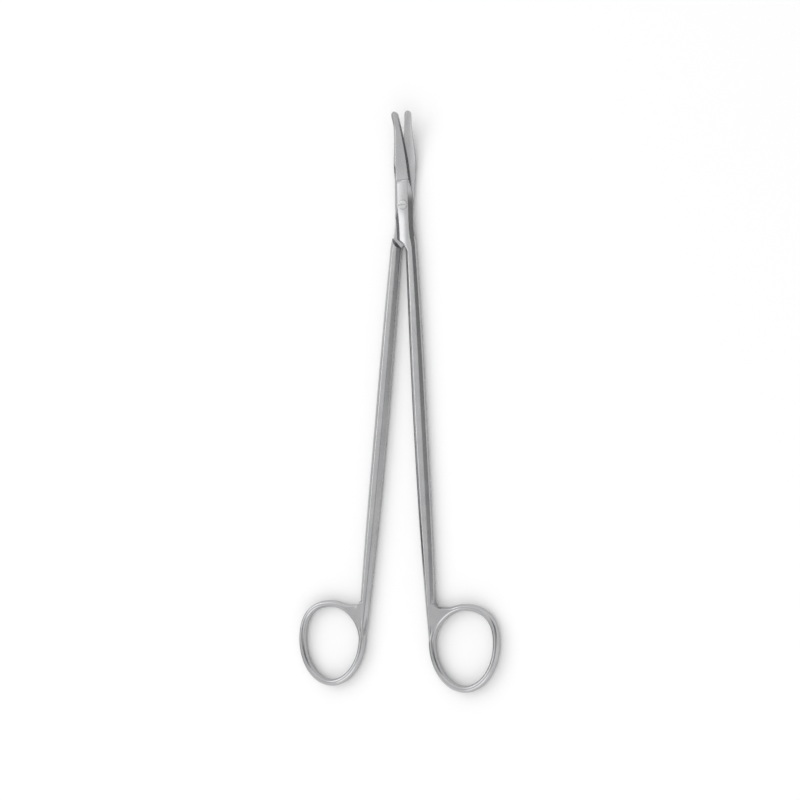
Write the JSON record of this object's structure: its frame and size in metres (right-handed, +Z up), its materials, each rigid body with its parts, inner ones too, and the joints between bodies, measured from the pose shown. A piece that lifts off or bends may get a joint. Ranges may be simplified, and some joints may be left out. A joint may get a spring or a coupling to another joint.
{
  "type": "vascular scissors",
  "caption": "Long slim surgical scissors with short curved blunt-tipped blades, a flush screw joint, faceted shanks and two egg-shaped finger rings.",
  "frame": {"origin": "on the pivot axis, in the plane that the scissors rest on", "axes": "+Y towards the blade tips, +Z up, out of the side with the screw head, +X to the side of the front half's finger ring"},
  "size_m": [0.0848, 0.2288, 0.0083],
  "materials": {
    "half_steel": "satin ground stainless steel",
    "screw_steel": "turned and polished stainless steel"
  },
  "bodies": {
    "back": {"back_half": "half_steel", "pivot_screw": "screw_steel"},
    "front": {"front_half": "half_steel"}
  },
  "joints": [
    {"name": "pivot", "type": "hinge", "parent": "back", "child": "front", "pos_m": [0, 0, 0.00206], "axis": [0, 0, 1], "range_deg": [-6.75, 60]}
  ]
}
